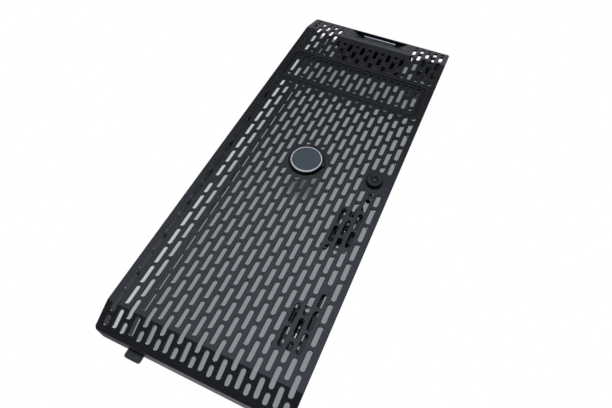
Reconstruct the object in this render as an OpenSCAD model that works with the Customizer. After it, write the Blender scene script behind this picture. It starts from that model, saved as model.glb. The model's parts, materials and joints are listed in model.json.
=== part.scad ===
// Front bezel for a tower server: slotted moulded shell, snap-in bay panel, sliding
// release latch, tubular key lock, turning badge and two spare keys clipped behind.
// X runs across, Y from the front (negative) to the rear rim (0), Z up from the foot.

/* [Shell] */
// Width across the side walls at the front
panel_w = 176; // [174:1:196]
// Height from the foot to the open top
panel_h = 448.8; // [446:0.2:470]
// Depth from the rear rim to the flat front
panel_d = 22; // [21:0.5:30]
// Wall thickness
wall = 2.5; // [2:0.1:3]
// How much the outside of each side wall leans in towards the rim
side_lean = 1.7; // [0.5:0.1:1.9]
// How much the inside of each side wall leans in towards the rim
inner_lean = 0.3; // [0.1:0.1:0.5]
// Radius of the upper outer corners
corner_r = 4; // [2.5:0.5:6]
// Radius of the lower outer corners
foot_corner_r = 6; // [4:0.5:7]
// Height of the chamfer below the flat front
chamfer_h = 22.9; // [20:0.1:25]
// How far the chamfer falls back
chamfer_back = 8.7; // [7:0.1:10]
// Rise of the bottom wall from the rim to the chamfer
foot_rise = 0.9; // [0.5:0.1:3]
// Height of the slope above the flat front
slope_h = 30.6; // [29:0.2:34]
// How far the slope falls back
slope_back = 8; // [7:0.25:9]

/* [Vent slots] */
// Spacing of the slot columns
column_pitch = 8; // [7.5:0.1:8.2]
// Plain land between the last column and the side wall
side_land = 2; // [1:0.1:4]
// Height step between neighbouring columns
half_pitch = 10.1; // [9.6:0.1:11]
// Slot width
slot_w = 4.3; // [3.4:0.1:4.6]
// Slot length in the main field
slot_len = 17.5; // [15:0.1:18]
// Slot length in the field above the bay
top_slot_len = 14.8; // [13:0.1:15.4]
// Height step between neighbouring columns above the bay
top_half_pitch = 9.5; // [9.2:0.1:10.2]

/* [Ribs and bosses] */
// Distance of the upright ribs from the outer sides
rib_side = 28.6; // [28:0.1:29]
// Thickness of ribs and gussets
rib_t = 2; // [1.2:0.1:2.4]
// Depth of the upright ribs behind the front wall
rib_d = 5; // [3:0.5:6]
// Reach of the gussets along the front wall
gusset_reach = 6; // [4:0.5:8]
// Reach of the gussets along the side walls
gusset_d = 13; // [10:0.5:14]
// Radius of the screw bosses
boss_r = 3; // [2.6:0.1:3.2]

/* [Bay panel] */
// Land between the bay opening and each outer side
bay_side = 9.65; // [9:0.05:11]
// Height of the bay opening
bay_h = 45.1; // [42:0.1:46]
// Distance from the slope's lower edge down to the bay opening
bay_drop = 46.65; // [45:0.05:50]
// Corner radius of the bay opening
bay_r = 4.25; // [3:0.25:6]
// Gap between the bay panel and its opening
bay_gap = 0.5; // [0.3:0.1:0.8]
// Width of the ledge that the panel seats on
ledge_w = 2.6; // [2:0.1:3]
// Thickness of the ledge
ledge_t = 1.5; // [1:0.1:2]
// Depth of the panel's two finger clips
clip_d = 12.5; // [10:0.5:14]

/* [Release latch] */
// Width of the latch plate
latch_w = 82; // [78:0.5:83]
// Height of the seam below the latch plate, above the slope's lower edge
latch_rise = 7.9; // [7:0.1:9]
// Gap round the latch plate
latch_gap = 0.4; // [0.3:0.1:0.8]
// Plate beside the scoop, on each side
scoop_side = 5; // [4:0.1:8]
// Width of the bright strip at the bottom of the scoop
strip_w = 40.8; // [34:0.2:46]
// Radius of the bright strip
strip_r = 1.1; // [0.8:0.1:1.2]
// Depth of the scoop behind the flat front
scoop_d = 12; // [11:0.1:13]
// Travel of the latch
latch_travel = 5; // [3:0.5:6]
// Reach of the latch hooks behind the rim
hook_reach = 7; // [5:0.5:9]
// Outer diameter of the return springs
spring_d = 5; // [4:0.1:5]
// Wire diameter of the return springs
spring_wire = 0.6; // [0.4:0.1:0.8]
// Turns of each return spring
spring_turns = 6; // [4:1:8]

/* [Badge] */
// Height of the badge centre above the foot
badge_z = 222.8; // [216:0.2:228]
// Outer radius of the badge ring
badge_r = 16; // [14:0.25:17]
// Radial width of the badge ring
badge_ring_w = 1.5; // [1:0.1:2]
// Radius of the dish that the badge sits in
dish_r = 18; // [17.5:0.25:19]
// How far the badge stands out of the flat front
badge_out = 3.2; // [2.5:0.1:4]
// Radius of the badge's pivot
pivot_r = 4; // [3:0.1:5]

/* [Lock] */
// Distance of the lock from the outer side
lock_side = 18.2; // [17:0.1:19]
// Height of the lock above the foot
lock_z = 226.3; // [223:0.1:228]
// Radius of the lock's head
lock_head_r = 7.8; // [7:0.1:8.5]
// How far the lock stands out of the flat front
lock_out = 3.5; // [2.5:0.1:4.5]
// Radius of the lock's barrel
lock_r = 6; // [5.7:0.1:6.4]
// Radius of the turning core
core_r = 4.5; // [4.2:0.1:4.7]
// Length of the cam from the lock's axis
cam_len = 13; // [10:0.5:14]

/* [Spare keys] */
// Distance of the keys from the outer side
key_side = 25; // [24.5:0.1:25.5]
// Height of the upper key's bow centre
upper_key_z = 159.8; // [157:0.2:162]
// Height of the lower key's bow centre
lower_key_z = 78.8; // [77:0.2:81]
// Width of a key's bow
bow_w = 18; // [16:0.5:19]
// Height of a key's bow
bow_h = 22; // [20:0.5:23]
// Thickness of a key's bow
bow_t = 5; // [4:0.1:5.5]
// Radius of a key's barrel
key_r = 3.4; // [3:0.1:3.8]
// Length of a key's barrel
key_len = 14; // [10:0.5:15]

/* [Foot hooks and corner block] */
// Distance of the left foot hook from the middle
left_hook_x = 51.6; // [45:0.1:60]
// Distance of the right foot hook from the middle
right_hook_x = 62; // [50:0.1:64]
// Width of a foot hook
foot_hook_w = 14.5; // [10:0.5:18]
// Drop of a foot hook below the foot
foot_hook_drop = 6.4; // [4:0.1:8]
// Thickness of a foot hook
foot_hook_t = 3; // [2:0.1:4]
// Width of the corner block
block_w = 26.5; // [25:0.5:27]
// Height of the corner block
block_h = 29; // [27:0.5:30]

/* [Hidden] */
$fn = 32;

// Clearances
fit = 0.3;          // between parts that only pass each other
running = 0.05;     // radial, a shaft that turns in its bore
snug = 0.1;         // a part set into its seat
over = 1;           // how far a cutter runs past what it cuts
corner_past = 0.05; // how far a corner's arc runs past the walls

// Main planes of the shell
front_y = -panel_d;
back_y = front_y + wall;               // back of the front wall
fold_z = foot_rise + chamfer_h;        // lower edge of the flat front
slope_z = panel_h - slope_h;           // upper edge of the flat front
half_w = panel_w / 2;
inner_x = half_w - wall;
top_past = wall + over;                // run of the hollow past the open top
profile = [
  [0, 0], [front_y + chamfer_back, foot_rise], [front_y, fold_z],
  [front_y, slope_z], [front_y + slope_back, panel_h], [0, panel_h]
];
open_profile = concat(
  [[wall + over, 0]], [for (i = [1:3]) profile[i]],
  [[slope_y(panel_h + top_past), panel_h + top_past], [wall + over, panel_h + top_past]]
);

// Slot fields
foot_land = 6.1;                       // from the foot to the lowest end of a slot
row_rise = 2.3;                        // middle of the slots that cross the fold, above it
bay_land = 5.25;                       // from the main field to the bay
top_land = 6.25;                       // from the bay to the field above it
top_row_rise = 5.5;                    // first middle of that field, above its foot
edge_land = 5.6;                       // from a slot beside the latch to the top edge
latch_land = 8.5;                      // from a slot below the latch to the slope
columns = floor((inner_x - slot_w / 2 - side_land) / column_pitch);
slot_floor = foot_land;
row0 = fold_z + row_rise;
bay_w = panel_w - 2 * bay_side;
bay_top = slope_z - bay_drop;
bay_foot = bay_top - bay_h;
field_top = bay_foot - bay_land;       // highest end of the main field
top_floor = bay_top + top_land;        // lowest end of the field above the bay
top_row0 = top_floor + top_row_rise;
top_ceiling = panel_h - edge_land;
band_z = slope_z - latch_land;
latch_columns = floor(latch_w / 2 / column_pitch);
rib_x = half_w - rib_side;
lock_x = half_w - lock_side;
key_x = half_w - key_side;

// Places that the slots leave free
badge_land = 4;
badge_clear_r = dish_r + badge_land;
lock_land = 5.6;
lock_clear = about(lock_z, lock_head_r + lock_land);
lock_clear_x = 12;
boss_spot = 4.3;
boss_column = (columns - 1) * column_pitch;
lower_boss_drop = 1.1;
left_boss_drop = 1.3;
lower_boss = [boss_column, row0 + 8 * half_pitch - lower_boss_drop];
left_boss = [-boss_column, row0 + 14 * half_pitch - left_boss_drop];

// Badge stack
dish_depth = 1;
dish_y = front_y + dish_depth;
hub_len = 5.5;
hub_y = back_y + hub_len;
carrier_r = badge_r - badge_ring_w + snug;

// Lock stack
lock_front = front_y - lock_out;
lock_pad_t = 1.5;
lock_pad_y = back_y + lock_pad_t;
cam_t = 1.6;
cam_y = -3.2;
lock_back = cam_y - fit;
clip_t = 1;
clip_groove = 0.6;
cam_square = 5;
cam_w = 8;
cam_screw_r = 1.5;

// Latch stack
seam_z = slope_z + latch_rise;
latch_half = latch_w / 2;
plate_t = 2.4;
back_plate_y = front_y + scoop_d;      // front of the latch's back plate
back_plate_t = 2.4;
back_plate_end = back_plate_y + back_plate_t;
back_plate_half = latch_half - 7;
housing_half = latch_half + latch_gap;
housing_t = 1.5;
housing_drop = 14.4;
spring_bay_h = 21;
housing_floor = slope_z - housing_drop; // underside of the housing's floor
floor_t = 2;
rail_in = 3.8;                         // rails overlap the latch's back plate by this
rail_end = 0.5;                        // and stop this short of its edge
rail_t = 1.2;
rail_h = 12;
shelf_z = housing_floor + spring_bay_h;
shelf_t = 2;
flange_y = -9;
flange_t = 2;
band_h = 10;
back_wall_y = -2.5;
back_wall_t = 2;
ear_z = housing_floor + floor_t + fit;
ear_t = 3;
spring_x = housing_half - housing_t - fit - spring_d / 2;
spring_lead = 0.6;                     // spring axis in front of the back plate
spring_y = back_plate_y - spring_lead;
spring_foot = ear_z + ear_t;
hook_x = 24;
hook_w = 10;
hook_rise = 7;
hook_z = ear_z + hook_rise;
hook_t = 5;
hook_nose = 3;
hook_drop = 4;
hook_room = 0.5;                       // round a hook in the housing's back wall
scoop_mouth = 0.6;                     // from the latch plate's foot to the scoop
scoop_wall = 1.7;
lip = 2;
strip_h = 2 * strip_r + 2 * snug;      // height of the scoop at its bottom
strip_y = back_plate_y - 0.2;
strip_z = panel_h - lip - strip_h / 2;

// Screws
screw_r = 1.2;
pilot_r = screw_r + snug;
screw_len = 8;
screw_head_r = 2.6;
screw_head_t = 1.8;

// Key holders
holder_y = back_y + 3;                 // front of a holder's plate
holder_t = 1.6;
collar_r = key_r + 0.8;
key_y = holder_y + holder_t + fit + max(bow_t / 2, collar_r);
tooth = 1.6;
collar_len = 3;
ring_r = 6;
ring_wire = 0.6;

// Corner block
block_drop = 12.4;
block_x = inner_x - inner_lean - snug - block_w;
block_z = slope_z - block_drop;
block_y = -9;
block_t = 1.8;
block_screw_x = 8.8;
block_screw_z = 6;

// Screw places: [x, z, front of the screwed part, its thickness]
low_screw_in = 5.4;
lug_r = 3.5;                           // half height of a screw lug
lug_out = 3.3;
holder_out = 11;                       // screw beside a holder
holder_in = 5;                         // screw above a holder, off its middle
holder_drop = 15;                      // screw beside the bow, below its middle
holder_past = 9;                       // screw beyond the holder's end
block_screw_shift = 0.5;
holder_reach = bow_h / 2 + key_len;
housing_low = [for (s = [-1, 1]) [s * (housing_half - low_screw_in), housing_floor - band_h / 2]];
housing_high = [for (s = [-1, 1]) [s * (housing_half + lug_out), shelf_z - lug_r - snug]];
block_points = [
  for (z = [block_screw_z, block_h - block_screw_z + block_screw_shift])
    [block_x + block_screw_x, block_z + z]
];
upper_points = [
  [key_x - holder_out, upper_key_z - holder_drop],
  [key_x + holder_in, upper_key_z + holder_reach + holder_past]
];
lower_points = [[key_x - holder_out, lower_key_z - holder_reach - 5], lower_boss];

// Height of the outer surface of the slope
function slope_y(z) = front_y + slope_back * (z - slope_z) / slope_h;
function unit(v) = v / norm(v);
// Interval of half width r about x
function about(x, r) = [x - r, x + r];
// Normal of the edge from a to b, pointing to its right
function right_of(a, b) = unit([b.y - a.y, a.x - b.x]);
// A polygon moved inwards by d, for points that run clockwise
function inset(points, d) = [
  for (i = [0:len(points) - 1])
    let (
      last = len(points),
      n1 = right_of(points[(i + last - 1) % last], points[i]),
      n2 = right_of(points[i], points[(i + 1) % last])
    )
    points[i] + d * (n1 + n2) / (1 + n1 * n2)
];

function odd(i) = abs(i) % 2;
// Half the chord of a circle at a distance from its centre
function chord(r, x) = abs(x) < r ? sqrt(r * r - x * x) : 0;
// The end of a slot: shorter under an end hole, and short of the fold
function slot_end(z) =
  let (end = z + slot_len / 2, next = z + 2 * half_pitch - slot_len / 2)
  next < field_top && field_top - next < slot_w ? end - slot_w
  : end > fold_z && end < fold_z + slot_w ? fold_z - 1.5
  : min(end, field_top);
function main_rows(i) = [
  for (m = [-1:ceil(field_top / half_pitch / 2)])
    let (z = row0 - odd(i) * half_pitch + 2 * m * half_pitch, low = max(slot_floor, z - slot_len / 2))
    if (slot_end(z) - low > 0.5) [low, slot_end(z)]
];
// Spans with a gap taken out
function cut(spans, gap) = [
  for (s = spans)
    each [
      if (min(s[1], gap[0]) - s[0] > 0.5) [s[0], min(s[1], gap[0])],
      if (s[1] - max(s[0], gap[1]) > 0.5 && gap[1] > s[0]) [max(s[0], gap[1]), s[1]],
      if (s[0] >= gap[1]) s
    ]
];
function spot_gap(i, spot) =
  i * column_pitch == spot[0] ? [spot[1] - boss_spot, spot[1] + boss_spot] : [0, 0];
function main_spans(i) =
  let (
    x = i * column_pitch,
    c = chord(badge_clear_r, x),
    near_lock = abs(x - lock_x) < lock_clear_x,
    a = c > 0 ? cut(main_rows(i), [badge_z - c, badge_z + c]) : main_rows(i),
    b = near_lock ? cut(a, lock_clear) : a,
    d = cut(b, spot_gap(i, lower_boss))
  )
  cut(d, spot_gap(i, left_boss));
function top_limit(i) = abs(i) > latch_columns ? top_ceiling : band_z;
function top_spans(i) = [
  for (m = [-1:ceil((panel_h - top_floor) / top_half_pitch / 2)])
    let (
      z = top_row0 + odd(i + 1) * top_half_pitch + 2 * m * top_half_pitch,
      low = max(top_floor, z - top_slot_len / 2),
      high = min(top_limit(i), z + top_slot_len / 2)
    )
    if (high - low > 0.5) [low, high]
];
bay_low_land = 4.85;
bay_high_land = 2.85;
bay_low = bay_foot + bay_low_land;
bay_high = bay_top - bay_high_land;
bay_low_step = 6.6;                    // from a low hole's foot to the slot above it
bay_high_step = 8.1;                   // from a slot's head to the top of the hole above it
bay_bar_half = 2;                      // half of the bar between two slots
function bay_spans(i) =
  odd(i) ? [
    [bay_low, bay_low],
    [bay_low + bay_low_step, bay_high - bay_high_step],
    [bay_high - slot_w, bay_high - slot_w]
  ]
  : let (mid = (bay_low + bay_high) / 2) [[bay_low, mid - bay_bar_half], [mid + bay_bar_half, bay_high]];

// 2D: a slot with round ends, or a round hole where it is too short for one
module slot(x, span) {
  r = slot_w / 2;
  long = span[1] - span[0];
  mid = (span[0] + span[1]) / 2;
  if (long < slot_w + 0.2) translate([x, long < 0.1 ? mid + r : mid]) circle(r);
  else {
    translate([x, span[0] + r]) circle(r);
    translate([x, span[1] - r]) circle(r);
    translate([x - r, span[0] + r]) square([slot_w, long - slot_w]);
  }
}
module along_y(y0, y1) translate([0, y1, 0]) rotate([90, 0, 0]) linear_extrude(y1 - y0) children();
module along_x(x0, x1) translate([x0, 0, 0]) rotate([90, 0, 90]) linear_extrude(x1 - x0) children();
module box(x, y, z) translate([x[0], y[0], z[0]]) cube([x[1] - x[0], y[1] - y[0], z[1] - z[0]]);
module both_sides() {
  children();
  mirror([1, 0, 0]) children();
}
// A cylinder along Y at [x, z]
module rod(p, r, y0, y1, fn = 48) translate([p[0], y1, p[1]]) rotate([90, 0, 0])
  cylinder(r = r, h = y1 - y0, $fn = fn);
// 2D: rectangle from low to high with round corners
module round_rect(low, high, r) {
  for (x = [low[0] + r, high[0] - r]) for (y = [low[1] + r, high[1] - r]) translate([x, y]) circle(r);
  translate([low[0] + r, low[1]]) square([high[0] - low[0] - 2 * r, high[1] - low[1]]);
  translate([low[0], low[1] + r]) square([high[0] - low[0], high[1] - low[1] - 2 * r]);
}
module bay_outline(grow) {
  round_rect([-bay_w / 2 - grow, bay_foot - grow], [bay_w / 2 + grow, bay_top + grow], bay_r + grow);
}

// ---- shell ----
module drafted(half, lean, low, high) {
  rim_half = half - lean * (panel_d + over) / panel_d;
  translate([0, 0, low]) linear_extrude(high - low)
    polygon([[-half, front_y], [half, front_y], [rim_half, over], [-rim_half, over]]);
}
module corner_cutters() {
  for (s = [-1, 1]) for (top = [0, 1]) {
    r = top ? corner_r : foot_corner_r;
    // The arc runs a little past the walls, so that it crosses them
    cx = s * (half_w + corner_past - r);
    cz = top ? panel_h + corner_past - r : r - corner_past;
    along_y(front_y - over, over) difference() {
      translate([s > 0 ? cx : cx - r - over, top ? cz : cz - r - over]) square(r + over);
      translate([cx, cz]) circle(r);
    }
  }
}
module hollow_body() {
  difference() {
    intersection() {
      along_x(-panel_w, panel_w) polygon(profile);
      drafted(half_w, side_lean, -over, panel_h + over);
    }
    intersection() {
      along_x(-panel_w, panel_w) polygon(inset(open_profile, wall));
      drafted(inner_x, inner_lean, 0, panel_h + over);
    }
    corner_cutters();
  }
}
module upright_rib(x, low, high) {
  box(about(x, rib_t / 2), [back_y - over / 2, back_y + rib_d], [low, high]);
}
// The rib's foot, behind the chamfer
module rib_toe(x) {
  low = wall + over;
  lean_y = front_y + chamfer_back * (fold_z - low) / chamfer_h;
  along_x(x - rib_t / 2, x + rib_t / 2) polygon([
    [lean_y + wall * 3 / 4, low], [back_y - over / 2, fold_z], [back_y - over / 2, fold_z + over],
    [back_y + rib_d, fold_z + over], [back_y + rib_d, fold_z], [lean_y + wall + rib_d, low]
  ]);
}
module gusset(z) {
  translate([0, 0, z - rib_t / 2]) linear_extrude(rib_t) polygon([
    [inner_x - gusset_reach, back_y], [inner_x - gusset_reach, back_y - over / 2],
    [inner_x + over / 2, back_y - over / 2], [inner_x + over / 2, back_y + gusset_d],
    [inner_x - inner_lean, back_y + gusset_d]
  ]);
}
foot_hook_gap = 0.6;                   // from the rim to the hook
foot_arm_rise = 5;
foot_arm_run = 8;
foot_notch = 1.5;                      // depth of the rim's notch at each hook
foot_hooks = [-left_hook_x, right_hook_x];
module foot_hook(x) {
  hook_end = foot_hook_gap + foot_hook_t;
  side = about(x, foot_hook_w / 2);
  along_y(foot_hook_gap, hook_end)
    round_rect([side[0], -foot_hook_drop], [side[1], wall + foot_arm_rise], 2);
  box(about(x, foot_hook_w / 2 + 2 * fit), [-foot_arm_run, hook_end], [wall - snug, wall + foot_hook_t]);
}
ledge_out = 3;                         // the ledge's frame round the bay opening
hub_wall = 3.5;
lock_pad_w = 5;
module shell_additions() {
  rib_end = 3;
  upright_rib(-rib_x, fold_z, field_top + over);
  rib_toe(-rib_x);
  right_foot = upper_points[1].y + holder_out;
  upright_rib(-rib_x, top_floor, band_z + rib_end);
  upright_rib(rib_x, right_foot, field_top + over);
  upright_rib(rib_x, top_floor, block_z - rib_end);
  rows = floor((field_top - row0) / half_pitch / 4);
  for (k = [0:rows - 1]) both_sides() gusset(row0 + half_pitch * (3 + 4 * k));
  difference() {
    along_y(back_y - over / 2, back_y + ledge_t) bay_outline(ledge_out);
    along_y(back_y - over, back_y + ledge_t + over) bay_outline(bay_gap / 2 - ledge_w + 0.2);
  }
  along_y(front_y - 0.5, back_y) difference() {
    bay_outline(ledge_out / 2);
    bay_outline(-over);
  }
  rod([0, badge_z], pivot_r + hub_wall, back_y - over / 2, hub_y);
  rod([lock_x, lock_z], lock_r + lock_pad_w, back_y - over / 2, lock_pad_y);
  for (p = concat(housing_low, housing_high)) rod(p, boss_r, back_y - over / 2, flange_y, 32);
  for (p = block_points) rod(p, boss_r, back_y - over / 2, block_y, 32);
  for (p = concat(upper_points, lower_points, [left_boss])) rod(p, boss_r, back_y - over / 2, holder_y, 32);
  for (x = foot_hooks) foot_hook(x);
}
module shell_openings() {
  // Bay and latch
  along_y(front_y - 2, back_y) bay_outline(0);
  box([-housing_half, housing_half], [front_y - over, back_plate_end + fit], [seam_z, panel_h + over]);
  // Notches that the foot hooks pass
  for (x = foot_hooks)
    box(about(x, foot_hook_w / 2 + fit), [-foot_notch, foot_hook_gap - snug], [-over, wall - snug]);
  // Badge dish and pivot bore
  rod([0, badge_z], dish_r, front_y - over, dish_y, 96);
  rod([0, badge_z], pivot_r, front_y - over, hub_y + over);
  // Lock bore
  rod([lock_x, lock_z], lock_r + snug, front_y - over, lock_pad_y + over);
  // Screw pilots
  for (p = concat(housing_low, housing_high)) rod(p, pilot_r, flange_y - screw_len, flange_y + over, 24);
  for (p = block_points) rod(p, pilot_r, block_y - screw_len, block_y + over, 24);
  for (p = concat(upper_points, lower_points)) rod(p, pilot_r, back_y - 0.5, holder_y + over, 24);
}
module slot_cutters() {
  slope_depth = back_y + max(slope_back, chamfer_back);
  along_y(front_y - 2, back_y) for (i = [-columns:columns]) {
    for (s = main_spans(i)) if (s[0] >= fold_z) slot(i * column_pitch, s);
    for (s = top_spans(i)) if (s[1] <= slope_z) slot(i * column_pitch, s);
  }
  along_y(front_y - 2, slope_depth) for (i = [-columns:columns]) {
    for (s = main_spans(i)) if (s[0] < fold_z) slot(i * column_pitch, s);
    for (s = top_spans(i)) if (s[1] > slope_z) slot(i * column_pitch, s);
  }
}
module bezel_shell() color([0.17, 0.18, 0.2]) difference() {
  union() {
    hollow_body();
    shell_additions();
  }
  shell_openings();
  slot_cutters();
}

// ---- bay panel ----
clip_w = 15;
clip_nose = 1.4;
clip_nose_t = 2.4;
foot_clip_half = 4;
foot_clip_t = 1.9;
foot_clip_drop = 1.7;
module bay_panel() color([0.17, 0.18, 0.2]) {
  plate_half = bay_w / 2 - bay_gap;
  clear = ledge_w - 0.2 - bay_gap / 2;         // from the opening to the ledge's inner edge
  rib_top = bay_top - clear - fit;
  rib_foot = bay_foot + clear + fit;
  nose_y = back_y + ledge_t + snug;
  rib = 1.5;
  rib_in = 2.5;
  clip = about(plate_half - rib_in - clip_w / 2, clip_w / 2);
  difference() {
    along_y(front_y, back_y) bay_outline(-bay_gap);
    along_y(front_y - over, back_y + over)
      for (i = [-columns:columns]) if (abs(i * column_pitch) + slot_w < plate_half)
        for (s = bay_spans(i)) slot(i * column_pitch, s);
  }
  box(about(0, plate_half - rib_in), [back_y - 0.5, nose_y + rib], [rib_top - rib, rib_top]);
  both_sides() {
    box(clip, [back_y - 0.5, back_y + clip_d], [rib_top - rib, rib_top]);
    along_x(clip[0], clip[1]) polygon([
      [nose_y, rib_top - over], [nose_y, rib_top + clip_nose],
      [nose_y + clip_nose_t, rib_top], [nose_y + clip_nose_t, rib_top - over]
    ]);
  }
  for (x = [-1, 0, 1] * (plate_half - 3 * rib_in) * 2 / 3) {
    box(about(x, foot_clip_half), [back_y - 0.5, nose_y + foot_clip_t], [rib_foot, rib_foot + rib]);
    box(about(x, foot_clip_half), [nose_y, nose_y + foot_clip_t],
        [rib_foot - foot_clip_drop, rib_foot + rib]);
  }
}

// ---- release latch ----
// Wedge from the latch plate's surface to the bottom of the scoop, grown by a wall
plate_foot = seam_z + latch_gap;
module scoop(foot, grow, front, back, deep) {
  head = panel_h - lip + grow;
  half = latch_half - scoop_side + grow;
  edge = 0.2;
  hull() {
    box(about(0, half), [slope_y(foot) + front, slope_y(foot) + back], [foot, foot + edge]);
    box(about(0, half), [slope_y(head) + front, slope_y(head) + back], [head - edge, head]);
    box(about(0, strip_w / 2 + grow), [deep - edge, deep], [panel_h - lip - strip_h - grow, head]);
  }
}
module release_latch() color([0.24, 0.26, 0.28]) {
  difference() {
    union() {
      along_x(-latch_half, latch_half) polygon([
        [slope_y(plate_foot), plate_foot], [slope_y(panel_h), panel_h],
        [slope_y(panel_h) + plate_t, panel_h], [slope_y(plate_foot) + plate_t, plate_foot]
      ]);
      scoop(plate_foot + fit, scoop_wall, 0.6, plate_t - 0.3, back_plate_end - 0.3);
      box(about(0, latch_half), [slope_y(panel_h), back_plate_end], [panel_h - lip - 0.2, panel_h]);
      box(about(0, back_plate_half), [back_plate_y, back_plate_end], [ear_z, panel_h]);
      both_sides() {
        box([back_plate_half - 0.2, spring_x + spring_d / 2], [spring_y - spring_d / 2, back_plate_end],
            [ear_z, spring_foot]);
        box(about(hook_x, hook_w / 2), [back_plate_end - 0.5, hook_reach], [hook_z, hook_z + hook_t]);
        box(about(hook_x, hook_w / 2), [hook_reach - hook_nose, hook_reach],
            [hook_z - hook_drop, hook_z + hook_t]);
      }
    }
    scoop(plate_foot + scoop_mouth, 0, -over, 0.1, back_plate_y - 0.05);
    strip_bar(snug);
  }
}
// Round bar along the bottom of the scoop
module strip_bar(grow) {
  half = strip_w / 2 - snug + grow;
  along_x(-half, half) translate([strip_y, strip_z]) circle(strip_r + grow / 2);
}
module latch_strip() color([0.75, 0.78, 0.8]) strip_bar(0);

module latch_housing() color([0.2, 0.21, 0.23]) difference() {
  union() {
    box([-housing_half, housing_half], [flange_y, flange_y + flange_t],
        [housing_floor - band_h, housing_floor + floor_t]);
    box([-housing_half, housing_half], [flange_y, back_wall_y + back_wall_t],
        [housing_floor, housing_floor + floor_t]);
    box([-housing_half, housing_half], [back_wall_y, back_wall_y + back_wall_t],
        [housing_floor, shelf_z + shelf_t]);
    both_sides() {
      box([housing_half - housing_t, housing_half], [back_y + plate_t + fit, back_wall_y + over],
          [housing_floor, shelf_z]);
      // Shelf above the spring, and the rail in front of the latch's back plate
      box([back_plate_half + snug, housing_half], [spring_y - spring_d / 2 - 1, back_wall_y + over],
          [shelf_z, shelf_z + shelf_t]);
      box([back_plate_half - rail_in + fit, housing_half], [spring_y - spring_d / 2 - 1, back_plate_y - fit],
          [shelf_z, shelf_z + shelf_t]);
      box([back_plate_half - rail_in, back_plate_half - rail_end],
          [back_plate_y - fit - rail_t, back_plate_y - fit], [shelf_z - rail_h, shelf_z + rail_end]);
      // Rail behind the back plate
      box([back_plate_half - rail_in, back_plate_half - rail_end],
          [back_plate_end + fit, back_wall_y + rail_end], [housing_floor + floor_t - rail_end, shelf_z]);
      // Screw lug
      box([housing_half - over, housing_high[1][0] + lug_r], [flange_y, flange_y + flange_t],
          [housing_high[1][1] - lug_r, shelf_z]);
    }
  }
  both_sides()
    box(about(hook_x, hook_w / 2 + hook_room), [back_wall_y - over, back_wall_y + back_wall_t + over],
        [hook_z - hook_room, hook_z + hook_t + latch_travel + hook_room]);
  for (p = concat(housing_low, housing_high))
    rod(p, screw_r + snug, flange_y - over, flange_y + flange_t + over, 24);
}

// A helix of round wire along Z, as one closed tube
module helix(r, wire, turns, height) {
  sides = 6;
  steps = turns * 14;
  rise = height - 2 * wire;
  ring = [for (i = [0:steps]) for (k = [0:sides - 1])
    let (a = 360 * turns * i / steps, b = 360 * k / sides, d = r + wire * cos(b))
    [d * cos(a), d * sin(a), wire + rise * i / steps + wire * sin(b)]];
  walls = [for (i = [0:steps - 1]) for (k = [0:sides - 1])
    let (n = (k + 1) % sides)
    [i * sides + k, (i + 1) * sides + k, (i + 1) * sides + n, i * sides + n]];
  ends = [[for (k = [0:sides - 1]) k], [for (k = [sides - 1:-1:0]) steps * sides + k]];
  polyhedron(ring, concat(walls, ends));
}
module latch_springs() color([0.7, 0.7, 0.72]) both_sides()
  translate([spring_x, spring_y, spring_foot])
    helix((spring_d - spring_wire) / 2, spring_wire / 2, spring_turns, shelf_z - spring_foot);

// ---- badge ----
badge_front = front_y - badge_out;
nub_w = 5;
nub_reach = 3.3;
nub_rise = 1.4;                        // middle of the nub above the badge's
flange_back = front_y - fit;           // the carrier's flange runs just off the wall
flange_front = flange_back - 1;
disc_sink = 0.5;
disc_t = 0.7;
washer_t = 0.8;
module badge_carrier() color([0.2, 0.22, 0.24]) {
  rod([0, badge_z], carrier_r, badge_front + disc_sink + disc_t, dish_y - fit, 96);
  rod([0, badge_z], badge_r + fit, flange_front, flange_back, 96);
  rod([0, badge_z], pivot_r - running, dish_y - over, hub_y + fit + 2);
  box([badge_r - over, badge_r + nub_reach], [flange_front, flange_back],
      about(badge_z + nub_rise, nub_w / 2));
}
module badge_ring() color([0.72, 0.75, 0.78]) translate([0, flange_front, badge_z]) rotate([90, 0, 0])
  rotate_extrude($fn = 96) polygon([
    [carrier_r + 0.02, 0], [badge_r, 0], [badge_r, badge_out - fit - 1.8],
    [badge_r - 0.5, badge_out - fit - 1], [badge_r - badge_ring_w, badge_out - fit - 1],
    [badge_r - badge_ring_w, badge_out - fit - 1.9], [carrier_r + 0.02, badge_out - fit - 2.15]
  ]);
module badge_disc() color([0.31, 0.35, 0.38])
  rod([0, badge_z], badge_r - badge_ring_w - snug, badge_front + disc_sink,
      badge_front + disc_sink + disc_t, 96);
module badge_washer() color([0.65, 0.66, 0.68]) difference() {
  rod([0, badge_z], pivot_r + 3, hub_y + fit, hub_y + fit + washer_t);
  rod([0, badge_z], pivot_r - running, hub_y, hub_y + fit + over);
}

// ---- lock ----
head_edge = 0.8;                       // chamfer of the lock's head
core_sink = 0.3;
key_depth = 8;
key_slot_w = 1.4;
key_slot_reach = 0.7;
cam_screw_depth = 5.5;
cam_screw_head_r = 3.6;
cam_screw_head_t = 1.5;
cam_eye_r = 5.5;
module lock_body() color([0.18, 0.19, 0.21]) difference() {
  union() {
    translate([lock_x, front_y, lock_z]) rotate([90, 0, 0]) rotate_extrude($fn = 64) polygon([
      [0, 0], [lock_head_r, 0], [lock_head_r, lock_out - head_edge],
      [lock_head_r - head_edge, lock_out], [0, lock_out]
    ]);
    rod([lock_x, lock_z], lock_r, front_y - 0.5, lock_back);
  }
  rod([lock_x, lock_z], core_r + running, lock_front - over, lock_back + over);
  difference() {
    rod([lock_x, lock_z], lock_r + over, lock_pad_y, lock_pad_y + clip_t);
    rod([lock_x, lock_z], lock_r - clip_groove, lock_pad_y - over, lock_pad_y + clip_t + over);
  }
}
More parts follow.
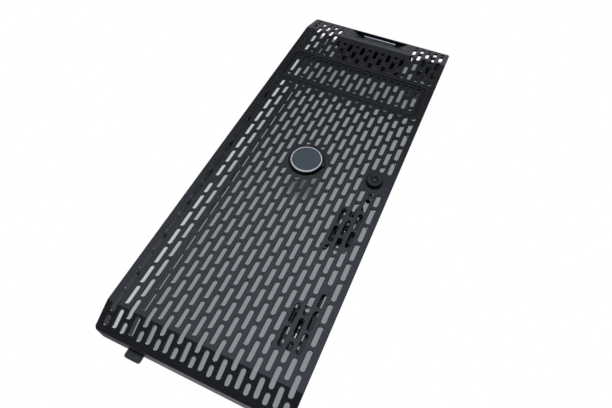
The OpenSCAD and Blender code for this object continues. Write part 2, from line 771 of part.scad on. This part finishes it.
module lock_core() color([0.22, 0.23, 0.25]) difference() {
  union() {
    rod([lock_x, lock_z], core_r, lock_front + core_sink, cam_y);
    box(about(lock_x, cam_square / 2), [cam_y - 0.5, cam_y + cam_t], about(lock_z, cam_square / 2));
  }
  along_y(lock_front - over, lock_front + key_depth) translate([lock_x, lock_z]) {
    difference() {
      circle(key_r + 0.2, $fn = 48);
      circle(key_r - 1, $fn = 48);
    }
    for (turn = [0, -90]) rotate(turn) translate([-key_slot_w / 2, key_r - key_slot_reach / 2])
      square([key_slot_w, key_slot_reach * 3 / 2]);
  }
  rod([lock_x, lock_z], cam_screw_r, cam_y - cam_screw_depth - 0.5, cam_y + cam_t + over, 32);
}
module lock_cam() color([0.7, 0.71, 0.73]) difference() {
  along_y(cam_y, cam_y + cam_t) {
    translate([lock_x, lock_z]) circle(cam_eye_r, $fn = 48);
    translate([lock_x, lock_z - cam_len + cam_w / 2]) circle(cam_w / 2, $fn = 48);
    translate([lock_x - cam_w / 2, lock_z - cam_len + cam_w / 2]) square([cam_w, cam_len - cam_w / 2]);
  }
  half = cam_square / 2 + 0.02;
  box(about(lock_x, half), [cam_y - over, cam_y + cam_t + over], about(lock_z, half));
}
module lock_cam_screw() color([0.75, 0.76, 0.78]) difference() {
  union() {
    rod([lock_x, lock_z], cam_screw_r - 0.02, cam_y - cam_screw_depth, cam_y + cam_t + 0.5, 32);
    rod([lock_x, lock_z], cam_screw_head_r, cam_y + cam_t, cam_y + cam_t + cam_screw_head_t, 32);
  }
  box(about(lock_x, 2), [cam_y + cam_t + cam_screw_head_t / 2, cam_y + cam_t + 2], about(lock_z, 0.4));
}
module lock_clip() color([0.6, 0.61, 0.63]) along_y(lock_pad_y, lock_pad_y + clip_t) difference() {
  translate([lock_x, lock_z]) circle(lock_r + 3, $fn = 48);
  translate([lock_x, lock_z]) circle(lock_r - clip_groove + 0.02, $fn = 48);
  slot_half = lock_r - clip_groove - 0.6;
  translate([lock_x - slot_half, lock_z - lock_r - 4]) square([2 * slot_half, lock_r + 4]);
}

// ---- spare keys: way is 1 where the barrel points up, -1 where it points down ----
bow_r = 3;
eye_r = 2.4;                           // hole for the key ring
eye_in = 3.2;                          // its centre from the end of the bow
key_wall = 0.9;
key_step = 0.8;                        // the barrel is thinner inside the bow
key_root = 3;
key_bore = 6;
module key_bow(z, way) color([0.08, 0.08, 0.09]) difference() {
  half = bow_w / 2;
  union() {
    along_y(key_y - bow_t / 2, key_y + bow_t / 2)
      round_rect([key_x - half, z - bow_h / 2], [key_x + half, z + bow_h / 2], bow_r);
    stem = z + way * (bow_h / 2 - over);
    translate([key_x, key_y, min(stem, stem + way * (over + collar_len))])
      cylinder(r = collar_r, h = collar_len + over, $fn = 32);
  }
  teeth = floor((bow_h - 2 * bow_r - over) / tooth);
  along_y(key_y - bow_t, key_y + bow_t) for (s = [-1, 1]) for (k = [0:teeth - 1])
    translate([key_x + s * half, z + (k - (teeth - 1) / 2) * tooth]) rotate(45)
      square(tooth * 0.6, center = true);
  rod([key_x, z - way * (bow_h / 2 - eye_in)], eye_r, key_y - bow_t, key_y + bow_t, 32);
  // The seat of the barrel inside the collar
  foot = z + way * (bow_h / 2 - key_root);
  seat = key_root + collar_len + over;
  translate([key_x, key_y, min(foot, foot + way * seat)]) cylinder(r = key_r - key_step, h = seat, $fn = 32);
}
module key_barrel(z, way) color([0.72, 0.68, 0.6]) difference() {
  face = z + way * (bow_h / 2 + collar_len);
  tip = face + way * key_len;
  union() {
    translate([key_x, key_y, min(face, tip)]) cylinder(r = key_r, h = key_len, $fn = 48);
    root = z + way * (bow_h / 2 - key_root);
    translate([key_x, key_y, min(root, face)]) cylinder(r = key_r - key_step, h = abs(face - root), $fn = 32);
    translate([key_x, key_y - key_r, tip - way * 1.5]) cube([1.2, 1.6, 2], center = true);
  }
  bore = tip - way * key_bore;
  translate([key_x, key_y, min(bore, tip + way * over)])
    cylinder(r = key_r - key_wall, h = key_bore + over, $fn = 48);
}
module key_ring() color([0.7, 0.7, 0.72])
  translate([key_x, key_y, upper_key_z - bow_h / 2 + eye_in - ring_r + eye_r / 2])
    rotate([90, 0, 70]) rotate_extrude($fn = 64) translate([ring_r, 0]) circle(ring_wire, $fn = 16);

// Plate behind the front wall with a window, a fence round the bow and two arms that
// close over it
holder_end = 2;                        // from the barrel's tip to the plate's end
holder_rim = 3.5;                      // plate beyond the window, up and down
fence_t = 1.5;
fence_half = 4;                        // half height of the fence, and half width of an arm
fence_nose = 1.6;
saddle_half = 2;
module key_holder(z, way, points) color([0.1, 0.1, 0.11]) {
  half = bow_w / 2;
  far_end = bow_h / 2 + collar_len + key_len + holder_end;
  low = way > 0 ? z - fence_half : z - far_end;
  high = way > 0 ? z + far_end : z + fence_half;
  outer = half + fit + fence_t;
  plate_back = holder_y + holder_t;
  rear = key_y + bow_t / 2 + fit;
  difference() {
    along_y(holder_y, plate_back) {
      round_rect([key_x - outer, low], [key_x + outer, high], 1);
      for (p = points) {
        translate(p) circle(boss_r + 2 * fit);
        reach = max(low + holder_rim, min(high - holder_rim, p.y));
        translate([min(p.x, p.x + sign(key_x - p.x) * fence_half), min(p.y, reach)])
          square([fence_half, max(0.5, abs(p.y - reach))]);
      }
    }
    along_y(holder_y - over, plate_back + over)
      round_rect([key_x - half + fence_t, low + holder_rim], [key_x + half - fence_t, high - holder_rim], 1);
    for (p = points) rod(p, screw_r + snug, holder_y - over, plate_back + over, 24);
  }
  // Fence beside the bow, with a nose over its back
  for (s = [-1, 1]) {
    x0 = key_x + s * (half + fit);
    x1 = x0 + s * fence_t;
    nose = x0 - s * fence_nose;
    box([min(x0, x1), max(x0, x1)], [holder_y, rear + fence_t], about(z, fence_half));
    box([min(nose, x1), max(nose, x1)], [rear, rear + fence_t], about(z, fence_half));
  }
  // Saddle under the barrel
  mid = z + way * (bow_h / 2 + collar_len + key_len / 2);
  box(about(key_x, outer - 0.5), [holder_y, key_y - key_r - fit], about(mid, saddle_half));
}

// ---- corner block ----
module corner_block() color([0.09, 0.09, 0.1]) difference() {
  box([block_x, block_x + block_w], [block_y, -0.5], [block_z, block_z + block_h]);
  box([block_x + block_t, block_x + block_w - block_t], [block_y + block_t, over],
      [block_z + block_t, block_z + block_h - block_t]);
  for (p = block_points) rod(p, screw_r + snug, block_y - over, block_y + block_t + over, 24);
}

// ---- screws: p is [x, z], seat is the plane under the head ----
module screw(p, seat, tip) difference() {
  union() {
    rod(p, screw_r, tip, seat + 0.5, 24);
    rod(p, screw_head_r, seat, seat + screw_head_t, 32);
  }
  for (size = [[1.4, 0.3], [0.3, 1.4]])
    box(about(p.x, size.x), [seat + 0.9, seat + screw_head_t + over], about(p.y, size.y));
}
module fixing_screws() color([0.6, 0.61, 0.63]) {
  for (p = concat(housing_low, housing_high)) screw(p, flange_y + flange_t, flange_y - screw_len + 0.5);
  for (p = block_points) screw(p, block_y + block_t, block_y - screw_len + 0.5);
  for (p = concat(upper_points, lower_points)) screw(p, holder_y + holder_t, back_y);
}

bezel_shell();
bay_panel();
latch_housing();
release_latch();
latch_strip();
latch_springs();
badge_carrier();
badge_ring();
badge_disc();
badge_washer();
lock_body();
lock_core();
lock_cam();
lock_cam_screw();
lock_clip();
key_holder(upper_key_z, 1, upper_points);  // upper_key_holder
key_holder(lower_key_z, -1, lower_points);  // lower_key_holder
key_bow(upper_key_z, 1);  // upper_key_bow
key_bow(lower_key_z, -1);  // lower_key_bow
key_barrel(upper_key_z, 1);  // upper_key_barrel
key_barrel(lower_key_z, -1);  // lower_key_barrel
key_ring();
corner_block();
fixing_screws();
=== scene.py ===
"""Looks of a slotted server front bezel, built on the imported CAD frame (metres)."""
import json
import math

import bpy
from mathutils import Euler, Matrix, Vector


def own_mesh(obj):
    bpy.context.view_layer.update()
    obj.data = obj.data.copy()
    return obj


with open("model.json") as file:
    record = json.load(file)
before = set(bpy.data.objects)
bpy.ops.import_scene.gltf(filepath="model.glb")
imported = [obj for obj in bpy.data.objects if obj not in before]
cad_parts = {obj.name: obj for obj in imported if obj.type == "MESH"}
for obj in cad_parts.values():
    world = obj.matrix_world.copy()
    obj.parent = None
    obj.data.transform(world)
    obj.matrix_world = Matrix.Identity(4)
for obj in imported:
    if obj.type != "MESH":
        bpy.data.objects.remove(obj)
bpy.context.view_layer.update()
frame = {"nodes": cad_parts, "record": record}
MM = 0.001

# ---- what the materials are made of -------------------------------------------------
# Slot: darkest tone, palest tone, roughness, radius of its softened edges
PLASTICS = {
    "charcoal_plastic": ((0.004, 0.0045, 0.0056), (0.006, 0.0066, 0.008), 0.3, 0.7 * MM),
    "dark_plastic": ((0.003, 0.0032, 0.0038), (0.005, 0.0054, 0.0062), 0.4, 0.3 * MM),
    "black_plastic": ((0.004, 0.004, 0.0045), (0.007, 0.007, 0.0075), 0.28, 0.4 * MM),
}
# Slot: colour, roughness, scale of the brush lines along X, Y and Z, radius of its edges
METALS = {
    "bright_metal": ((0.72, 0.75, 0.79), 0.3, (0.05, 1, 1), 0.1 * MM),
    "lock_metal": ((0.07, 0.073, 0.08), 0.38, (1, 0.1, 1), 0.1 * MM),
    "key_metal": ((0.66, 0.6, 0.5), 0.28, (1, 1, 0.08), 0.2 * MM),
    "spring_steel": ((0.55, 0.56, 0.58), 0.3, (1, 1, 0.2), 0.1 * MM),
}
PAINT_TONES = ((0.065, 0.088, 0.108), (0.1, 0.13, 0.155))
PAINT_METALLIC = 0.45
PAINT_ROUGH = 0.42

# Noise patterns: scale per metre, detail
TONE_DRIFT = (22, 3)
GLOSS_PATCHES = (90, 4)
GRAIN = (2600, 2)
SAG = (30, 1)
BRUSH_LINES = (900, 3)
FLAKES = (3200, 1)
# The part of a noise's range over which a ramp runs
WIDE = (0.3, 0.7)
NARROW = (0.35, 0.65)
# Bumps: strength, height
GRAIN_BUMP = (0.12, 0.06 * MM)
SAG_BUMP = (0.06, 2 * MM)
BRUSH_BUMP = (0.15, 0.05 * MM)
FLAKE_BUMP = (0.08, 0.04 * MM)

PLASTIC_TINT = (0.84, 0.9, 1.0)     # of its reflections
PATCH_SPREAD = (-0.03, 0.03)        # of the roughness
BRUSH_SPREAD = (-0.06, 0.08)
BRUSH_DULL = 0.8                    # the darkest brush line, as a share of the colour
CREASE_REACH = 3 * MM
# Painted shade: the specular level falls in creases and hollows, where the place is less open
CREASE_PAINTED_SHADE = [(0.35, 0.05), (0.85, 0.5)]      # openness of the place, specular level
EDGE_SAMPLES = 6

# ---- stage --------------------------------------------------------------------------
STAGE_SIZE = 6
FLOOR_Z = -1.0                      # below the camera, which is lower than the foot
FLOOR_COLOUR = (0.8, 0.8, 0.8)
FLOOR_ROUGH = 0.9
FLOOR_GLOW = 0.45                   # added for the camera's rays alone

BACKDROP_Y = 7.5 * MM               # close behind the rim, so that it hides behind the part
BACKDROP_MIDDLE_Z = 0.4
# The painted shadow of the bezel on the sheet, a grey rectangle that the bezel hides: middle
# and half size, and its soft edge
SHADE_X = (-4.6 * MM, 85 * MM)
SHADE_Z = (224.5 * MM, 222.5 * MM)
SHADE_SOFT = 1 * MM
# The painted shadow's tone is the sum of a ramp along X and a ramp along Z; painted light
# makes it paler towards the left and the top
LEFT_SPAN = (-104.3 * MM, -66.1 * MM)
LEFT_PAINTED_LIGHT = [
    (0.0, (0.4, 0.41, 0.44)), (0.43, (0.27, 0.28, 0.3)), (0.66, (0.13, 0.14, 0.15)),
    (0.89, (0.03, 0.03, 0.035)), (1.0, 0.0)
]
TOP_SPAN = (284.5 * MM, 494.3 * MM)
TOP_PAINTED_SHADE_AND_LIGHT = [
    (0.0, (0.25, 0.272, 0.29)), (0.3, (0.25, 0.272, 0.29)), (0.36, (0.18, 0.2, 0.215)),
    (0.78, (0.2, 0.215, 0.23)), (0.86, (0.5, 0.55, 0.6)), (1.0, (0.6, 0.68, 0.74))
]
# A round shadow on it behind the badge's hub
SHADOW_MIDDLE = (0, BACKDROP_Y, 212 * MM)
SHADOW_RADII = (4 * MM, 25 * MM)
SHADOW_LEVEL = 0.35

# ---- room light ---------------------------------------------------------------------
# The soft lamp's middle is this far to the side and up, in radians, seen from the part
LAMP_SIDE = -0.16
LAMP_RISE = 0.231
LAMP_WAY = (
    math.sin(LAMP_SIDE) * math.cos(LAMP_RISE),
    -math.cos(LAMP_SIDE) * math.cos(LAMP_RISE),
    math.sin(LAMP_RISE),
)
LAMP_INNER = 0.38                   # fully bright inside this angular radius
LAMP_OUTER = 0.46                   # and dark outside this one
LAMP_LEVEL = 1.45
CEILING_SPAN = (0.774, 0.9)         # of the upward part of a direction
CEILING_LEVEL = 0.42
WALL_SPAN = (-0.1, 0.1)
WALL_LEVELS = (0.17, 0.13)          # below and above eye level
ROOM_COLOUR = (0.96, 0.99, 1.06)

# Lamps behind the part: place, size, watts
REAR_LAMPS = {
    "rear": ((-0.5, 1.2, 0.7), (1.0, 1.0), 10),
    "side_rear": ((1.3, 1.1, 0.1), (1.5, 1.5), 6),
    "low_rear": ((0.3, 1.1, -0.7), (2.2, 0.9), 2.4),
}
REAR_TARGET = (0, 0, 0.22)

# ---- camera, fitted to the photograph -----------------------------------------------
CAMERA_PLACE = (0.11865, -0.37668, -0.03846)
CAMERA_TURN = (123.543, -24.4541, 0.0105)       # degrees
CAMERA_SENSOR = 36
CAMERA_LENS = 26.967
CAMERA_SHIFT = (-0.0004, 0.0006)
CAMERA_NEAR = 0.01


# ---- node helpers -------------------------------------------------------------------
def new_material(name):
    """A material with only its Principled shader; returns material, node tree, shader."""
    mat = bpy.data.materials.new(name)
    mat.use_nodes = True
    tree = mat.node_tree
    return mat, tree, tree.nodes["Principled BSDF"]


def feed(tree, socket, value):
    """Links an output to the socket, or sets the socket to a plain value."""
    if isinstance(value, bpy.types.NodeSocket):
        tree.links.new(value, socket)
    else:
        socket.default_value = value


def add_node(tree, kind, **sockets):
    """A new node whose named input sockets are fed; an underscore stands for a space."""
    node = tree.nodes.new(kind)
    for name, value in sockets.items():
        feed(tree, node.inputs[name.replace("_", " ")], value)
    return node


def calc(tree, operation, *values):
    """A maths node over outputs or plain numbers."""
    node = tree.nodes.new("ShaderNodeMath")
    node.operation = operation
    for socket, value in zip(node.inputs, values):
        feed(tree, socket, value)
    return node.outputs[0]


def remap(tree, value, source, target=(0.0, 1.0), smooth=False):
    """Takes a value from one (low, high) range to another and holds it at the ends."""
    node = add_node(tree, "ShaderNodeMapRange", Value=value, From_Min=source[0],
                    From_Max=source[1], To_Min=target[0], To_Max=target[1])
    if smooth:
        node.interpolation_type = "SMOOTHSTEP"
    return node.outputs["Result"]


def mix_shaders(tree, share, first, second):
    """The first shader where share is 0, the second where it is 1."""
    node = add_node(tree, "ShaderNodeMixShader", Fac=share)
    tree.links.new(first.outputs[0], node.inputs[1])
    tree.links.new(second.outputs[0], node.inputs[2])
    return node


def noise(tree, coords, pattern, stretch=(1, 1, 1)):
    """A noise texture in object space, metres; returns its Fac output."""
    mapping = add_node(tree, "ShaderNodeMapping", Vector=coords, Scale=stretch)
    scale, detail = pattern
    tex = add_node(tree, "ShaderNodeTexNoise", Vector=mapping.outputs["Vector"],
                   Scale=scale, Detail=detail)
    return tex.outputs["Fac"]


def ramp(tree, factor, stops):
    """A colour ramp from (position, colour) stops; a plain number is a grey."""
    node = add_node(tree, "ShaderNodeValToRGB", Fac=factor)
    band = node.color_ramp
    while len(band.elements) < len(stops):
        band.elements.new(0.5)
    for element, (place, colour) in zip(band.elements, stops):
        element.position = place
        if isinstance(colour, (int, float)):
            colour = (colour, colour, colour)
        element.color = (*colour, 1)
    return node.outputs["Color"]


def vary(tree, socket, factor, span, low, high):
    """Lets a noise move the socket from low to high over a part of the noise's range."""
    feed(tree, socket, ramp(tree, factor, [(span[0], low), (span[1], high)]))


def bumps(tree, shader, layers, edge=0.0):
    """Stacks (height, (strength, distance)) bumps on the shader, over softened edges."""
    normal = None
    if edge:
        bevel = add_node(tree, "ShaderNodeBevel", Radius=edge)
        bevel.samples = EDGE_SAMPLES
        normal = bevel.outputs["Normal"]
    for height, (strength, distance) in layers:
        bump = add_node(tree, "ShaderNodeBump", Height=height, Strength=strength,
                        Distance=distance)
        if normal:
            tree.links.new(normal, bump.inputs["Normal"])
        normal = bump.outputs["Normal"]
    tree.links.new(normal, shader.inputs["Normal"])


def object_coords(tree):
    return tree.nodes.new("ShaderNodeTexCoord").outputs["Object"]


# ---- materials ----------------------------------------------------------------------
def moulded_plastic(name, dark, light, rough, edge):
    """Moulded plastic: tone drift, spark-eroded grain, uneven gloss, and painted shade that
    dims the reflections in creases.
    """
    mat, tree, shader = new_material(name)
    shader.inputs["Specular Tint"].default_value = (*PLASTIC_TINT, 1)
    coords = object_coords(tree)
    vary(tree, shader.inputs["Base Color"], noise(tree, coords, TONE_DRIFT), WIDE, dark, light)
    vary(tree, shader.inputs["Roughness"], noise(tree, coords, GLOSS_PATCHES), WIDE,
         rough + PATCH_SPREAD[0], rough + PATCH_SPREAD[1])
    # Painted shade: ambient occlusion lowers the specular level in creases and hollows
    crease = add_node(tree, "ShaderNodeAmbientOcclusion", Distance=CREASE_REACH)
    crease.samples = EDGE_SAMPLES
    feed(tree, shader.inputs["Specular IOR Level"],
         ramp(tree, crease.outputs["AO"], CREASE_PAINTED_SHADE))
    grain = noise(tree, coords, GRAIN)
    sag = noise(tree, coords, SAG)
    bumps(tree, shader, [(sag, SAG_BUMP), (grain, GRAIN_BUMP)], edge)
    return mat


def brushed_metal(name, colour, rough, stretch, edge):
    """Metal with fine brush lines, long along the axis whose stretch is small."""
    mat, tree, shader = new_material(name)
    shader.inputs["Metallic"].default_value = 1.0
    lines = noise(tree, object_coords(tree), BRUSH_LINES, stretch)
    dull = tuple(c * BRUSH_DULL for c in colour)
    vary(tree, shader.inputs["Base Color"], lines, NARROW, dull, colour)
    vary(tree, shader.inputs["Roughness"], lines, WIDE,
         rough + BRUSH_SPREAD[0], rough + BRUSH_SPREAD[1])
    bumps(tree, shader, [(lines, BRUSH_BUMP)], edge)
    return mat


def badge_paint():
    """Blue-grey metallic paint with fine flakes."""
    mat, tree, shader = new_material("badge_paint")
    shader.inputs["Metallic"].default_value = PAINT_METALLIC
    shader.inputs["Roughness"].default_value = PAINT_ROUGH
    flakes = noise(tree, object_coords(tree), FLAKES)
    vary(tree, shader.inputs["Base Color"], flakes, WIDE, *PAINT_TONES)
    bumps(tree, shader, [(flakes, FLAKE_BUMP)])
    return mat


def make_slots():
    """One material for each of the record's material slots."""
    slots = {name: moulded_plastic(name, *look) for name, look in PLASTICS.items()}
    slots.update({name: brushed_metal(name, *look) for name, look in METALS.items()})
    slots["badge_paint"] = badge_paint()
    return slots


def dress_cad_nodes():
    """Gives every CAD node the material of its slot in the record."""
    slots = make_slots()
    for part in frame["record"]["subparts"]:
        node = frame["nodes"][part["node"]]
        node.data.materials.clear()
        node.data.materials.append(slots[part["material_slot"]])


def compress_springs():
    """Gives the latch springs a copy of their mesh of their own; they are not shortened here.
    """
    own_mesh(frame["nodes"]["latch_springs"])


# ---- stage --------------------------------------------------------------------------
def plane(name, place, mat, turn=(0, 0, 0)):
    bpy.ops.mesh.primitive_plane_add(size=STAGE_SIZE, location=place, rotation=turn)
    piece = bpy.context.object
    piece.name = name
    piece.data.materials.append(mat)


def camera_ray(tree):
    return tree.nodes.new("ShaderNodeLightPath").outputs["Is Camera Ray"]


def floor_material():
    """Pale floor, a little brighter to the camera than its light alone makes it."""
    mat, tree, shader = new_material("floor")
    shader.inputs["Base Color"].default_value = (*FLOOR_COLOUR, 1)
    shader.inputs["Roughness"].default_value = FLOOR_ROUGH
    shader.inputs["Emission Color"].default_value = (1, 1, 1, 1)
    feed(tree, shader.inputs["Emission Strength"],
         calc(tree, "MULTIPLY", camera_ray(tree), FLOOR_GLOW))
    return mat


def within(tree, value, middle, half):
    """1 where the value is less than half away from middle, 0 outside, softly."""
    away = calc(tree, "ABSOLUTE", calc(tree, "SUBTRACT", value, middle))
    return remap(tree, away, (half - SHADE_SOFT, half + SHADE_SOFT), (1.0, 0.0))


def painted_shadow_tone(tree, position, place):
    """The painted shadow's colour: painted light makes it paler at the left and the top, and a
    painted shadow of the hub makes it darker behind the hub.
    """
    # Painted light: paler towards the left and the top, where light would pass the bezel's
    # edges
    left = ramp(tree, remap(tree, place.outputs["X"], LEFT_SPAN), LEFT_PAINTED_LIGHT)
    top = ramp(tree, remap(tree, place.outputs["Z"], TOP_SPAN), TOP_PAINTED_SHADE_AND_LIGHT)
    tone = tree.nodes.new("ShaderNodeMix")
    tone.data_type = "RGBA"
    tone.blend_type = "ADD"
    tone.inputs["Factor"].default_value = 1.0
    tree.links.new(left, tone.inputs["A"])
    tree.links.new(top, tone.inputs["B"])
    away = tree.nodes.new("ShaderNodeVectorMath")
    away.operation = "DISTANCE"
    tree.links.new(position, away.inputs[0])
    away.inputs[1].default_value = SHADOW_MIDDLE
    shade = remap(tree, away.outputs["Value"], SHADOW_RADII, (SHADOW_LEVEL, 1.0), smooth=True)
    dim = tree.nodes.new("ShaderNodeVectorMath")
    dim.operation = "SCALE"
    tree.links.new(tone.outputs["Result"], dim.inputs[0])
    tree.links.new(shade, dim.inputs["Scale"])
    return dim.outputs["Vector"]


def backdrop_material():
    """White sheet with a grey rectangle of painted shadow, the bezel's shadow seen through its
    slots; only the camera sees it, and only its front.
    """
    mat, tree, shader = new_material("backdrop")
    tree.nodes.remove(shader)
    geometry = tree.nodes.new("ShaderNodeNewGeometry")
    position = geometry.outputs["Position"]
    place = add_node(tree, "ShaderNodeSeparateXYZ", Vector=position)
    white = add_node(tree, "ShaderNodeEmission", Strength=1.0)
    # Painted shadow: this grey emission stands for the bezel's shadow on the sheet
    grey = add_node(tree, "ShaderNodeEmission", Strength=1.0,
                    Color=painted_shadow_tone(tree, position, place))
    across = within(tree, place.outputs["X"], *SHADE_X)
    upright = within(tree, place.outputs["Z"], *SHADE_Z)
    sheet = mix_shaders(tree, calc(tree, "MULTIPLY", across, upright), white, grey)
    front = calc(tree, "SUBTRACT", 1.0, geometry.outputs["Backfacing"])
    seen = calc(tree, "MULTIPLY", front, camera_ray(tree))
    clear = tree.nodes.new("ShaderNodeBsdfTransparent")
    cover = mix_shaders(tree, seen, clear, sheet)
    tree.links.new(cover.outputs[0], tree.nodes["Material Output"].inputs["Surface"])
    return mat


def make_stage():
    plane("floor", (0, 0, FLOOR_Z), floor_material())
    plane("backdrop", (0, BACKDROP_Y, BACKDROP_MIDDLE_Z), backdrop_material(),
          (math.radians(90), 0, 0))


# ---- light and camera ---------------------------------------------------------------
def make_world():
    """Plain room light: one large soft round lamp in front, a pale ceiling, dim walls.
    The camera itself sees white."""
    world = bpy.data.worlds.new("studio")
    bpy.context.scene.world = world
    world.use_nodes = True
    tree = world.node_tree
    coords = tree.nodes.new("ShaderNodeTexCoord").outputs["Generated"]
    height = add_node(tree, "ShaderNodeSeparateXYZ", Vector=coords).outputs["Z"]
    towards = tree.nodes.new("ShaderNodeVectorMath")
    towards.operation = "DOT_PRODUCT"
    tree.links.new(coords, towards.inputs[0])
    towards.inputs[1].default_value = LAMP_WAY
    lamp = remap(tree, towards.outputs["Value"], (math.cos(LAMP_OUTER), math.cos(LAMP_INNER)),
                 (0.0, LAMP_LEVEL), smooth=True)
    ceiling = remap(tree, height, CEILING_SPAN, (0.0, CEILING_LEVEL), smooth=True)
    walls = remap(tree, height, WALL_SPAN, WALL_LEVELS, smooth=True)
    room = tree.nodes["Background"]
    room.inputs["Color"].default_value = (*ROOM_COLOUR, 1)
    feed(tree, room.inputs["Strength"],
         calc(tree, "ADD", calc(tree, "ADD", lamp, ceiling), walls))
    white = add_node(tree, "ShaderNodeBackground", Color=(1, 1, 1, 1))
    sky = mix_shaders(tree, camera_ray(tree), room, white)
    tree.links.new(sky.outputs[0], tree.nodes["World Output"].inputs["Surface"])


def make_lights():
    """Soft rectangular lamps behind the part, turned to its middle."""
    for name, (place, size, power) in REAR_LAMPS.items():
        data = bpy.data.lights.new(name, "AREA")
        data.shape = "RECTANGLE"
        data.size, data.size_y = size
        data.energy = power
        lamp = bpy.data.objects.new(name, data)
        bpy.context.collection.objects.link(lamp)
        lamp.location = place
        way = Vector(REAR_TARGET) - Vector(place)
        lamp.rotation_euler = way.to_track_quat("-Z", "Y").to_euler()


def make_camera():
    data = bpy.data.cameras.new("camera")
    data.sensor_width = CAMERA_SENSOR
    data.lens = CAMERA_LENS
    data.shift_x, data.shift_y = CAMERA_SHIFT
    data.clip_start = CAMERA_NEAR
    camera = bpy.data.objects.new("camera", data)
    bpy.context.collection.objects.link(camera)
    camera.location = CAMERA_PLACE
    camera.rotation_euler = Euler([math.radians(a) for a in CAMERA_TURN])
    bpy.context.scene.camera = camera


dress_cad_nodes()
compress_springs()
make_stage()
make_world()
make_lights()
make_camera()
bpy.context.scene.view_settings.view_transform = "Standard"
